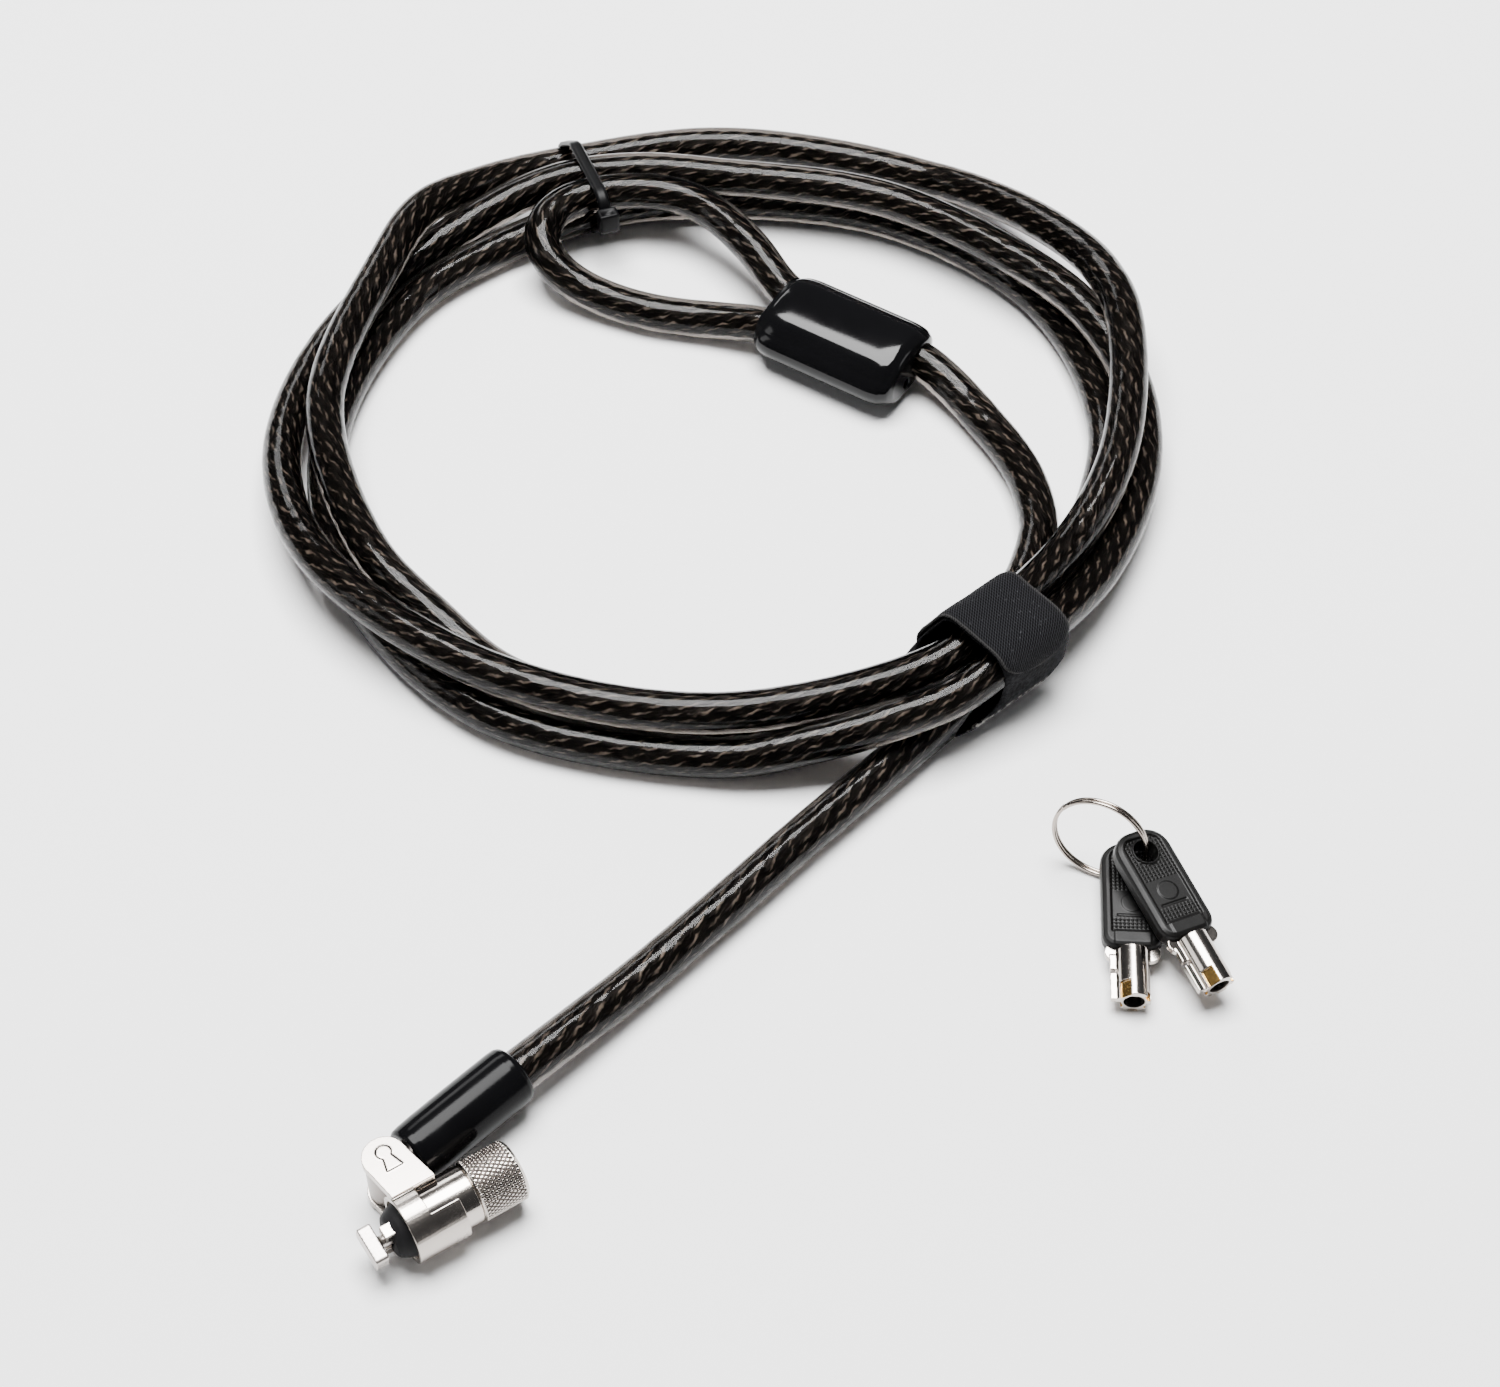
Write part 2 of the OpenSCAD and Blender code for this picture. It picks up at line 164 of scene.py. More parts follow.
def rope_material():
    """Stranded wire: helical rows of short painted glints, light dashes on the strand crests standing for
    highlights on the wires, on a near-black ground.
    """
    made, tree, bsdf = material("rope_wire", Metallic=0.3, Roughness=0.4)
    along, turn = uv_parts(tree)
    waver = calc(tree, "MULTIPLY", calc(tree, "SUBTRACT", speckle(tree, 330.0, 2.0), 0.5), 0.55)
    strand = calc(tree, "MULTIPLY_ADD", calc(tree, "SUBTRACT", turn, along), STRANDS, waver)
    across = calc(tree, "FRACT", strand)
    # The strand crests are where the painted glints go.
    crest = mapped(tree, from_middle(tree, across, 0.5), 0.24, 0.1)
    wires_waver = calc(tree, "MULTIPLY", waver, 1.2)
    wires = calc(tree, "MULTIPLY_ADD", along, ROPE_LAY / WIRE_STEP, wires_waver)
    slanted = calc(tree, "MULTIPLY_ADD", across, 2.6, wires)
    dash = mapped(tree, from_middle(tree, calc(tree, "FRACT", slanted), 0.5), 0.3, 0.1)
    patchy = mapped(tree, speckle(tree, 420.0, 2.0), 0.36, 0.66, 0.1, 1.0)
    lit = calc(tree, "MULTIPLY", calc(tree, "MULTIPLY", dash, crest), patchy)
    ground = mixed(tree, speckle(tree, 160.0), (0.004, 0.003, 0.002), (0.022, 0.016, 0.012))
    # Colour of the painted glints: warm light, where the wires catch the light.
    painted_glint_colour = mixed(tree, speckle(tree, 90.0), (0.8, 0.64, 0.5), (0.8, 0.75, 0.69))
    tree.links.new(mixed(tree, lit, ground, painted_glint_colour), bsdf.inputs["Base Color"])
    bump(tree, bsdf, dash, 0.5, 0.0002)
    return made


def sheath_material():
    """Smoky clear plastic, with long soft waves along it."""
    made, tree, bsdf = material(
        "clear_sheath", Base_Color=(0.1, 0.088, 0.08), Transmission_Weight=1.0, IOR=1.22)
    along, turn = uv_parts(tree)
    long_wave = make(tree, "CombineXYZ", calc(tree, "MULTIPLY", along, 3.2),
                     calc(tree, "MULTIPLY", turn, 2.0), 0.0).outputs[0]
    wave = speckle(tree, 2.2, 0.5, vector=long_wave)
    scuffs = speckle(tree, 260.0, 3.0)
    tree.links.new(mapped(tree, scuffs, 0.3, 0.75, 0.07, 0.13), bsdf.inputs["Roughness"])
    bump(tree, bsdf, wave, 0.3, 0.0008)
    return made


def moulded_material(name, colour, smooth, rough, grain=2600.0, depth=0.00003, level=0.14):
    """Moulded plastic or rubber: fine grain, with the roughness a little uneven."""
    made, tree, bsdf = material(name, Specular_IOR_Level=level)
    cloud = speckle(tree, 140.0, 4.0)
    dark = tuple(0.7 * c for c in colour)
    tree.links.new(mixed(tree, cloud, dark, colour), bsdf.inputs["Base Color"])
    tree.links.new(mapped(tree, cloud, 0.3, 0.7, smooth, rough), bsdf.inputs["Roughness"])
    bump(tree, bsdf, speckle(tree, grain, 3.0), 0.35, depth)
    return made


def metal_material(name, colour, smooth, rough, depth=0.00002):
    """Metal with a fine uneven grain, and duller clouds in it."""
    made, tree, bsdf = material(name, Metallic=1.0)
    scratch = speckle(tree, 3200.0, 4.0)
    cloud = speckle(tree, 170.0, 3.0)
    dull = tuple(0.82 * c for c in colour)
    tree.links.new(mixed(tree, cloud, dull, colour), bsdf.inputs["Base Color"])
    uneven = calc(tree, "MULTIPLY_ADD", scratch, 0.5, calc(tree, "MULTIPLY", cloud, 0.5))
    tree.links.new(mapped(tree, uneven, 0.3, 0.7, smooth, rough), bsdf.inputs["Roughness"])
    bump(tree, bsdf, scratch, 0.25, depth)
    return made


RIB_STEP, RIB_SLANT, THREAD_STEP = 0.62, 1.15, 0.5
LINT_AT = 15.7


def weave_material():
    """Fine diagonal ribs of the strap, their crests painted lighter as highlight, with a painted highlight along
    its rim and a little lint.
    """
    made, tree, bsdf = material("strap_weave", Roughness=0.8, Specular_IOR_Level=0.06)
    along, across = uv_parts(tree)
    ribs_at = calc(tree, "ADD", calc(tree, "MULTIPLY", along, RIB_SLANT), across)
    rib = calc(tree, "SINE", calc(tree, "MULTIPLY", ribs_at, 2 * math.pi / RIB_STEP))
    thread = calc(tree, "SINE", calc(tree, "MULTIPLY", across, 2 * math.pi / THREAD_STEP))
    rib_height_and_highlight = calc(tree, "ADD", rib, calc(tree, "MULTIPLY", thread, 0.55))
    lint = mapped(tree, speckle(tree, 1500.0, 2.0), 0.66, 0.76)
    # Real rib pattern, with the rib crests painted lighter as highlight and the grooves darker as shade.
    base = mixed(tree, mapped(tree, rib_height_and_highlight, -0.9, 1.5), (0.001, 0.001, 0.0012), (0.02, 0.02, 0.0225))
    fuzzy = mixed(tree, calc(tree, "MULTIPLY", lint, 0.35), base, (0.1, 0.1, 0.11))
    from_edge, _ = uv_parts(tree, "rim")
    # Painted highlight along the upper layer's side edges and its free end.
    rim = mapped(tree, from_edge, 0.6, 0.25)
    tree.links.new(mixed(tree, rim, fuzzy, (0.032, 0.031, 0.031)), bsdf.inputs["Base Color"])
    bump(tree, bsdf, rib_height_and_highlight, 0.8, 0.00012)
    return made


def loop_material():
    """Fuzzy loops of the strap's under layer, with pale lint along its low outer edge."""
    made, tree, bsdf = material("strap_loops", Roughness=0.9, Specular_IOR_Level=0.05)
    along, _ = uv_parts(tree)
    fuzz = speckle(tree, 1400.0, 4.0, 0.7)
    base = mixed(tree, mapped(tree, fuzz, 0.35, 0.7), (0.001, 0.001, 0.0012), (0.02, 0.02, 0.022))
    low_edge = mapped(tree, from_middle(tree, along, LINT_AT), 0.95, 0.45)
    tufts = mapped(tree, speckle(tree, 1000.0, 3.0, 0.6), 0.45, 0.54)
    lint = calc(tree, "MULTIPLY", tufts, low_edge)
    tree.links.new(mixed(tree, lint, base, (0.3, 0.29, 0.275)), bsdf.inputs["Base Color"])
    bump(tree, bsdf, fuzz, 0.9, 0.0002)
    return made


def floor_material():
    """Pale paper, very slightly uneven."""
    made, tree, bsdf = material("floor_paper", Specular_IOR_Level=0.2, Roughness=0.7)
    paper = speckle(tree, 4.0, 2.0)
    base = mixed(tree, paper, (0.93, 0.93, 0.93), (0.95, 0.95, 0.95))
    tree.links.new(base, bsdf.inputs["Base Color"])
    return made


# ---- mesh helpers ----


def add_piece(name, vertices, faces, body, materials, replaced=()):
    """A new mesh piece, riding on its body and standing for CAD nodes."""
    mesh = bpy.data.meshes.new(name)
    mesh.from_pydata([tuple(v) for v in vertices], [], [tuple(f) for f in faces])
    mesh.update()
    piece = bpy.data.objects.new(name, mesh)
    scene.collection.objects.link(piece)
    finish_piece(piece, body, materials, replaced)
    return piece


def finish_piece(piece, body, materials, replaced=()):
    for finish in materials:
        piece.data.materials.append(finish)
    piece.data.shade_smooth()
    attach(piece, body)
    if replaced:
        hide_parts(*replaced)


def smoothed(points, step):
    """Points at even steps along a centripetal Catmull-Rom curve through the given points."""
    pts = [np.array(p, float) for p in points]
    pts = [2 * pts[0] - pts[1], *pts, 2 * pts[-1] - pts[-2]]
    dense = []
    for p0, p1, p2, p3 in zip(pts, pts[1:], pts[2:], pts[3:]):
        t0 = 0.0
        t1 = t0 + np.linalg.norm(p1 - p0) ** 0.5
        t2 = t1 + np.linalg.norm(p2 - p1) ** 0.5
        t3 = t2 + np.linalg.norm(p3 - p2) ** 0.5
        for t in np.linspace(t1, t2, 24, endpoint=False):
            a1 = (t1 - t) / (t1 - t0) * p0 + (t - t0) / (t1 - t0) * p1
            a2 = (t2 - t) / (t2 - t1) * p1 + (t - t1) / (t2 - t1) * p2
            a3 = (t3 - t) / (t3 - t2) * p2 + (t - t2) / (t3 - t2) * p3
            b1 = (t2 - t) / (t2 - t0) * a1 + (t - t0) / (t2 - t0) * a2
            b2 = (t3 - t) / (t3 - t1) * a2 + (t - t1) / (t3 - t1) * a3
            dense.append((t2 - t) / (t2 - t1) * b1 + (t - t1) / (t2 - t1) * b2)
    dense.append(pts[-2])
    return resampled(np.array(dense), step)


def resampled(line, step):
    reach = np.concatenate([[0.0], np.cumsum(np.linalg.norm(np.diff(line, axis=0), axis=1))])
    count = max(2, int(round(reach[-1] / step)) + 1)
    at = np.linspace(0.0, reach[-1], count)
    return np.stack([np.interp(at, reach, line[:, i]) for i in range(3)], 1)


def carried_frames(line, up=(0, 0, 1)):
    """Two cross directions at each point, carried along the line without twist."""
    along = np.gradient(line, axis=0)
    along /= np.linalg.norm(along, axis=1)[:, None]
    side = np.cross(along[0], up)
    side /= np.linalg.norm(side)
    sides = []
    for direction in along:
        side = side - direction * np.dot(side, direction)
        side /= np.linalg.norm(side)
        sides.append(side)
    sides = np.array(sides)
    return sides, np.cross(sides, along)


def tube(line, sides, radius, lay=1.0):
    """Closed tube along a line: radius(length along, turn) in the line's unit, with its UVs."""
    across, up = carried_frames(line)
    reach = np.concatenate([[0.0], np.cumsum(np.linalg.norm(np.diff(line, axis=0), axis=1))])
    turn = np.arange(sides) / sides
    u, v = np.meshgrid(reach, turn, indexing="ij")
    r = radius(u, v)[:, :, None]
    angle = 2 * np.pi * v[:, :, None]
    outward = np.cos(angle) * across[:, None, :] + np.sin(angle) * up[:, None, :]
    verts = line[:, None, :] + r * outward
    rings = len(line)
    faces, uvs = [], []
    for i in range(rings - 1):
        for k in range(sides):
            n = (k + 1) % sides
            faces.append((i * sides + k, (i + 1) * sides + k, (i + 1) * sides + n, i * sides + n))
            for ring, corner in ((i, k), (i + 1, k), (i + 1, k + 1), (i, k + 1)):
                uvs.append((reach[ring] / lay, corner / sides))
    faces.append(tuple(range(sides)))
    faces.append(tuple((rings - 1) * sides + k for k in range(sides - 1, -1, -1)))
    uvs += [(0.0, 0.0)] * (2 * sides)
    return verts.reshape(-1, 3), faces, uvs


def shifted(faces, start):
    """Faces whose points come after start others."""
    return [tuple(i + start for i in face) for face in faces]


def even(radius):
    """The same radius all along a tube."""
    return lambda along, turn: np.full_like(along, radius)


def set_uvs(mesh, uvs, name="UVMap"):
    layer = mesh.uv_layers.new(name=name)
    layer.data.foreach_set("uv", np.array(uvs, np.float32).ravel())


def set_slots(mesh, slots):
    mesh.polygons.foreach_set("material_index", np.array(slots, np.int32))


def softened(node, name, voxel, passes, shape=None):
    """A copy of a CAD node with its edges rounded, and its points moved by shape if given."""
    source = nodes[node].data.copy()
    piece = bpy.data.objects.new(name, source)
    scene.collection.objects.link(piece)
    remesh = piece.modifiers.new("remesh", "REMESH")
    remesh.mode = "VOXEL"
    remesh.voxel_size = voxel * MM
    relax = piece.modifiers.new("relax", "SMOOTH")
    relax.factor = 0.5
    relax.iterations = passes
    depsgraph = bpy.context.evaluated_depsgraph_get()
    mesh = bpy.data.meshes.new_from_object(piece.evaluated_get(depsgraph))
    piece.modifiers.clear()
    piece.data = mesh
    mesh.materials.clear()
    if shape:
        co = np.zeros(len(mesh.vertices) * 3)
        mesh.vertices.foreach_get("co", co)
        no = np.zeros(len(mesh.vertices) * 3)
        mesh.vertices.foreach_get("normal", no)
        moved = shape(co.reshape(-1, 3), no.reshape(-1, 3))
        mesh.vertices.foreach_set("co", moved.ravel())
        mesh.update()
    return piece


def frame_of(origin, x, z):
    """A frame: its origin, and its axes x, y and z as rows."""
    x = np.array(x, float)
    z = np.array(z, float)
    z /= np.linalg.norm(z)
    x = x - z * np.dot(x, z)
    x /= np.linalg.norm(x)
    return np.array(origin, float), np.stack([x, np.cross(z, x), z])


def turned(heading, lean):
    """Rotation by lean about X, then by heading about Z, in degrees."""
    leaned = Matrix.Rotation(math.radians(lean), 3, "X")
    return Matrix.Rotation(math.radians(heading), 3, "Z") @ leaned


def to_local(place_of, points):
    origin, axes = place_of
    return (points - origin) @ axes.T


def to_world(place_of, points):
    origin, axes = place_of
    return origin + points @ axes


def ramp(value, low, high):
    """0 below low, 1 above high, smooth between."""
    t = np.clip((value - low) / (high - low), 0, 1)
    return t * t * (3 - 2 * t)


# ---- cable ----

CABLE_D = 7.0
ROPE_R = 2.05
ROPE_LOBE = 0.26
ROPE_LAY = 26.0
STRANDS = 6.0
WIRE_STEP = 2.5
SHEATH_STEP, SHEATH_SIDES = 1.6, 28
ROPE_STEP, ROPE_SIDES = 1.1, 42
COIL_CENTRE = (-14.5, 133.0)

LOCK_TAIL = [
    (-52.7, -15, 5.5), (-44.5, -6.8, 5.5), (-38, -0.2, 4.9), (-27, 11.2, 3.6),
    (-13, 26, 3.5), (-1, 39.1, 3.5), (11, 51.5, 3.5), (22.4, 63.4, 3.5),
]
FERRULE_TAIL = [
    (42, 108, 3.5), (41.8, 114, 3.5), (40.4, 121, 3.5), (37.6, 128, 3.5), (34.4, 133.8, 3.6),
    (30.8, 139.6, 4), (26.8, 144.6, 5), (22.6, 148.6, 5.9), (14.2, 154, 6.2),
]
LOOP = [
    (5.7, 159.6, 6.4), (-2.2, 166.3, 7), (-8.4, 175.8, 9), (-14.9, 183.7, 10.2), (-21, 188.4, 10.6),
    (-28, 190.2, 10.8), (-36, 190, 10.8), (-42.8, 187.8, 10.8), (-47.2, 183.6, 10.6),
    (-48.6, 177.8, 9.6), (-46.2, 173.2, 7.2), (-41.8, 170.2, 5), (-35.4, 167.1, 3.8),
    (-28, 164.2, 3.6), (-21, 162.6, 3.6), (-14, 161, 4.2), (-6.6, 158.4, 5.4), (1.8, 153.4, 5.6),
]
# Turns of the coil: (angle about its centre, distance from it, height)
TURNS = [
    (-49, 74.5, 5.3), (-38, 72.5, 3.9), (-30, 70.5, 3.5), (0, 70.5, 3.5), (30, 69.5, 3.5),
    (60, 66, 3.5), (90, 63, 3.5), (112, 64, 4), (130, 65, 3.5), (150, 67.8, 3.5), (180, 70.7, 3.5),
    (210, 74, 3.5), (240, 77.5, 3.5), (270, 77.4, 4.2), (282, 78.4, 7.4), (290, 79.4, 9.6),
    (300, 80, 10.9), (311, 78, 11.5), (330, 76.5, 7.6), (350, 76.6, 6.9), (365, 75.8, 8),
    (378, 72.8, 9.9), (390, 69, 10.6), (420, 64, 10.4), (450, 62, 10.6), (465, 66.2, 10.4),
    (477, 70.8, 8.4), (490, 72.4, 6.2), (510, 75, 3.6), (530, 77.6, 3.8), (550, 79.2, 7.2),
    (570, 78.6, 10.2), (600, 74.2, 10.3), (630, 72.6, 10), (660, 72, 10), (671, 71, 11.6),
    (690, 70.5, 11), (705, 72, 13), (720, 73.4, 14.5), (734, 75.9, 16), (742, 77, 15),
    (750, 78, 12.6), (765, 79.6, 7.6), (780, 80.6, 3.6), (810, 80, 3.5), (832, 78.8, 4.7),
    (846, 79.3, 7), (858, 77, 11.2), (870, 73, 10.9), (900, 71.2, 10.5), (930, 70, 9.9),
    (945, 69, 7.6), (960, 69.5, 4.3), (990, 69.7, 3.5), (1020, 67.5, 3.5),
    (1031, 67, 5.3), (1042, 65.5, 3.9), (1050, 63.5, 3.5),
]


def coil_point(angle, distance, height):
    turn = math.radians(angle)
    return (COIL_CENTRE[0] + distance * math.cos(turn),
            COIL_CENTRE[1] + distance * math.sin(turn), height)


route = LOCK_TAIL + [coil_point(*t) for t in TURNS] + FERRULE_TAIL + LOOP
cable_line = smoothed(route, SHEATH_STEP)
cable_line[:, 2] = np.maximum(cable_line[:, 2], CABLE_D / 2)
rope_line = smoothed(route, ROPE_STEP)
rope_line[:, 2] = np.maximum(rope_line[:, 2], CABLE_D / 2)


def stranded(along, turn):
    """Radius of the rope: a round lobe for each strand, winding along it."""
    return ROPE_R + ROPE_LOBE * np.abs(np.sin(np.pi * STRANDS * (turn - along / ROPE_LAY)))


sheath_verts, sheath_faces, sheath_uvs = tube(cable_line, SHEATH_SIDES, even(CABLE_D / 2), ROPE_LAY)
rope_verts, rope_faces, rope_uvs = tube(rope_line, ROPE_SIDES, stranded, ROPE_LAY)

cable = add_piece(
    "cable", np.concatenate([sheath_verts, rope_verts]) * MM,
    sheath_faces + shifted(rope_faces, len(sheath_verts)),
    "cable", [sheath_material(), rope_material()],
    ("cable_coil", "cable_lock_tail", "cable_ferrule_tail", "cable_loop"))
set_uvs(cable.data, sheath_uvs + rope_uvs)
set_slots(cable.data, [0] * len(sheath_faces) + [1] * len(rope_faces))

# ---- frames of the lock head and the keys, from the record's joints and mounts ----

barrel_axis = joints["t_bar_turn"]["axis"]
BAR_FACE = 12.6
t_bar_at = np.array(joints["t_bar_turn"]["pos_m"]) - BAR_FACE * MM * np.array(barrel_axis)
lock_frame = frame_of(t_bar_at, barrel_axis, (0, 0, 1))
pivot_at = np.array(joints["cable_pivot"]["pos_m"])
boot_frame = frame_of(pivot_at, np.subtract(LOCK_TAIL[1], LOCK_TAIL[0]), (0, 0, 1))
HOLE_AT = 4.2
HEAD_LENGTH = 20.0
TUBE_OUT = 9.2


def key_frame(which):
    joint = joints[f"key_{which}_swing"]
    axis = mounts[f"key_{which}_bore"]["axis"]
    origin = np.array(joint["pos_m"]) - HOLE_AT * MM * np.array(axis)
    return frame_of(origin, axis, joint["axis"])


# ---- lock head ----

nickel = metal_material("satin_nickel", (0.5, 0.455, 0.415), 0.16, 0.3)
polished = metal_material("polished_nickel", (0.52, 0.475, 0.435), 0.08, 0.2)
blasted = metal_material("blasted_nickel", (0.5, 0.46, 0.43), 0.24, 0.42, depth=0.00005)
steel = metal_material("plain_steel", (0.3, 0.27, 0.25), 0.25, 0.4)
# Darker metal for the knurl's valleys: painted shade in the grooves.
painted_groove_shade = metal_material("knurl_groove_shade", (0.13, 0.11, 0.1), 0.3, 0.45)
brass = metal_material("turned_brass", (0.62, 0.38, 0.12), 0.15, 0.3)
wire = metal_material("bright_wire", (0.4, 0.35, 0.31), 0.12, 0.26)
boot_black = moulded_material(
    "boot_black", (0.003, 0.003, 0.0034), 0.1, 0.2, depth=0.00001, level=0.07)
black_gloss = moulded_material(
    "polished_black", (0.003, 0.003, 0.0034), 0.07, 0.13, depth=0.00001, level=0.22)
rubber = moulded_material("matt_rubber", (0.008, 0.0078, 0.0085), 0.55, 0.75, 3600.0, level=0.1)
nylon = moulded_material("black_nylon", (0.002, 0.002, 0.0023), 0.3, 0.45, level=0.1)
satin_black = moulded_material(
    "satin_black", (0.004, 0.0038, 0.0036), 0.34, 0.46, 4200.0, level=0.17)


def soft_metal(node, body, finish, voxel=0.12, passes=3, shape=None):
    piece = softened(node, node + "_soft", voxel, passes, shape)
    finish_piece(piece, body, [finish], (node,))


soft_metal("yoke", "yoke", nickel, 0.1, 2)
soft_metal("spindle", "plug", blasted, 0.12, 20)
soft_metal("guide_pins", "barrel", polished, 0.1, 2)
soft_metal("lock_sleeve", "barrel", polished, 0.1, 3)
soft_metal("nose_cone", "barrel", rubber, 0.1, 2)

GRIP_FROM, GRIP_TO, GRIP_R = 17.2, 25.0, 4.85
KNURL_STARTS, KNURL_LEAN, KNURL_DEPTH = 38, 0.78, 0.3


def knurl(points, normals):
    """Diamond knurl pressed into the outside of the grip."""
    local = to_local(lock_frame, points) / MM
    radius = np.hypot(local[:, 1], local[:, 2])
    turn = np.arctan2(local[:, 2], local[:, 1]) / (2 * np.pi) * KNURL_STARTS
    pitch = 2 * np.pi * GRIP_R / KNURL_STARTS
    lean = local[:, 0] / pitch * KNURL_LEAN
    ridge = [1 - 2 * np.abs(np.mod(turn + s * lean, 1) - 0.5) for s in (-1, 1)]
    valley = 1 - np.minimum(np.minimum(*ridge) * 2.4, 1)
    inside = ramp(local[:, 0], GRIP_FROM + 0.35, GRIP_FROM + 0.7)
    inside *= ramp(-local[:, 0], -GRIP_TO + 0.55, -GRIP_TO + 0.8)
    cut = KNURL_DEPTH * valley * inside * ramp(radius, GRIP_R - 0.4, GRIP_R - 0.2)
    scale = (radius - cut) / np.maximum(radius, 1e-6)
    local[:, 1] *= scale
    local[:, 2] *= scale
    return to_world(lock_frame, local * MM)


grip = softened("knurled_grip", "knurled_grip_soft", 0.075, 1, knurl)
finish_piece(grip, "barrel", [polished, painted_groove_shade], ("knurled_grip",))
# Faces sunk in the knurl's valleys take the darker finish, as painted shade.
for face in grip.data.polygons:
    x, y, z = to_local(lock_frame, np.array(face.center)) / MM
    if GRIP_R - 0.35 < math.hypot(y, z) < GRIP_R - 0.1 and GRIP_FROM + 0.6 < x < GRIP_TO - 0.6:
        face.material_index = 1

SPRINGS = 7
SPRING_CIRCLE = 2.2
SPRING_FROM = BAR_FACE - 4.58
SPRING_LENGTH = 2.76
SPRING_R, SPRING_WIRE_R, SPRING_COILS = 0.3, 0.075, 7


def pin_coils():
    """Coil springs under the driver pins, built at one fixed length; nothing here closes them up as the pins are
    pressed in.
    """
    verts, faces = [], []
    for i in range(SPRINGS):
        turn = 2 * math.pi / SPRINGS * (i + 0.5)
        helix = []
        for t in np.linspace(0, 1, 16 * SPRING_COILS + 1):
            a = 0.5 + 2 * math.pi * SPRING_COILS * t
            helix.append((SPRING_FROM + SPRING_WIRE_R + (SPRING_LENGTH - 2 * SPRING_WIRE_R) * t,
                          SPRING_CIRCLE * math.sin(turn) + SPRING_R * math.cos(a),
                          -SPRING_CIRCLE * math.cos(turn) + SPRING_R * math.sin(a)))
        v, f, _ = tube(np.array(helix), 8, even(SPRING_WIRE_R))
        faces += shifted(f, len(verts))
        verts += list(v)
    coils = add_piece("pin_coils", to_world(lock_frame, np.array(verts) * MM), faces, "barrel",
                      [steel], ("pin_springs",))
    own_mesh(coils)


pin_coils()

BOOT = [
    (4.1, 0.0), (4.1, 3.9), (4.2, 4.3), (4.6, 4.62), (5.6, 4.75), (8, 4.84), (12, 4.88), (18, 4.9),
    (23.4, 4.9), (24.4, 4.84), (25.0, 4.6), (25.3, 4.2), (25.3, 3.8), (25.0, 3.55), (24.2, 3.5),
    (22.5, 3.5),
]
RIBS_AT = math.radians(215)
BOOT_RIB_STEP = 0.95
PIVOT_HOLLOW = 4.3


def boot_piece():
    """Moulded boot: rounded mouth, an end hollowed round the pivot, and faint slanted grip ribs."""
    around = 128
    profile = resampled(np.array([(x, r, 0.0) for x, r in BOOT]), 0.16)
    rings = []
    for x, r, _ in profile:
        ring = []
        for k in range(around):
            a = 2 * math.pi * k / around
            y, z = r * math.cos(a), r * math.sin(a)
            if r > 4.5:
                near = max(0.0, 1 - abs(a - RIBS_AT) / 0.55) * max(0.0, 1 - abs(x - 9) / 4.6)
                wave = max(0.0, math.cos(2 * math.pi * (x - 1.6 * a) / BOOT_RIB_STEP))
                grown = 1 + 0.012 * min(1.0, 2 * near) * wave
                y, z = y * grown, z * grown
            if math.hypot(x, y) < PIVOT_HOLLOW and r > 0.5:
                ring.append((max(x, math.sqrt(max(PIVOT_HOLLOW ** 2 - y ** 2, 0.0))), y, z))
            else:
                ring.append((x, y, z))
        rings.append(ring)
    verts = to_world(boot_frame, np.array(rings).reshape(-1, 3) * MM)
    faces = []
    for i in range(len(rings) - 1):
        for k in range(around):
            n = (k + 1) % around
            faces.append((i * around + k, (i + 1) * around + k,
                          (i + 1) * around + n, i * around + n))
    add_piece("boot_cover", verts, faces, "cable", [boot_black], ("boot",))


boot_piece()

FERRULE_CENTRE = (8.3, 153.5, 6.16)
FERRULE_DIR = -33
FERRULE_ROLL = 5


def ferrule_frame():
    turn = turned(FERRULE_DIR, FERRULE_ROLL)
    return frame_of(np.array(FERRULE_CENTRE) * MM, turn.col[0], turn.col[2])


def pillow(points, normals):
    """Crowns the cover's faces and draws its ends in."""
    place_of = ferrule_frame()
    local = to_local(place_of, points) / MM
    side = np.maximum(np.abs(local[:, 1]) - 4.2, 0)
    outside = ramp(np.hypot(local[:, 2], side) / 5.8, 0.7, 0.95)
    crown = 1 - 0.3 * outside * np.clip(np.abs(local[:, 1]) / 8, 0, 1) ** 2
    drawn = 1 - 0.13 * np.clip((np.abs(local[:, 0]) - 9.5) / 5.5, 0, 1) ** 2.2
    local[:, 2] *= crown * drawn
    local[:, 1] *= drawn
    return to_world(place_of, local * MM)


ferrule = softened("ferrule_cover", "ferrule_soft", 0.2, 12, pillow)
finish_piece(ferrule, "cable", [black_gloss], ("ferrule_cover",))

# ---- strap and tie ----

# Places are angles about the coil's centre. A bundle is (distance from it, height) of each strand.
STRAP_ANGLE = -49.0
STRAP_BUNDLE = [(66.4, 5.2), (77.6, 5.2), (70.4, 12.2), (78.4, 12)]
STRAP_THICK = 0.72
STRAP_HALF = 7.6
STRAP_WOBBLE = 0.1
LOWER_LIFT, UPPER_LIFT = 0.42, 1.3
UPPER_FROM = 60
FREE_END_ROUND = 4.5
TIE_ANGLE = 109.5
TIE_SHIFT = 4.2
TIE_BUNDLE = [(57.8, 10.8), (64.2, 4.8), (78.5, 4.8), (72, 9.8)]
TIE_HALF, TIE_THICK, TIE_LIFT = 1.15, 1.0, 0.56
TIE_HEAD_AT = (52.7, 0.0, 11.3)
TIE_HEAD_SIZE = (2.8, 3.9, 4.2)
OUTLINE_STEPS = 150


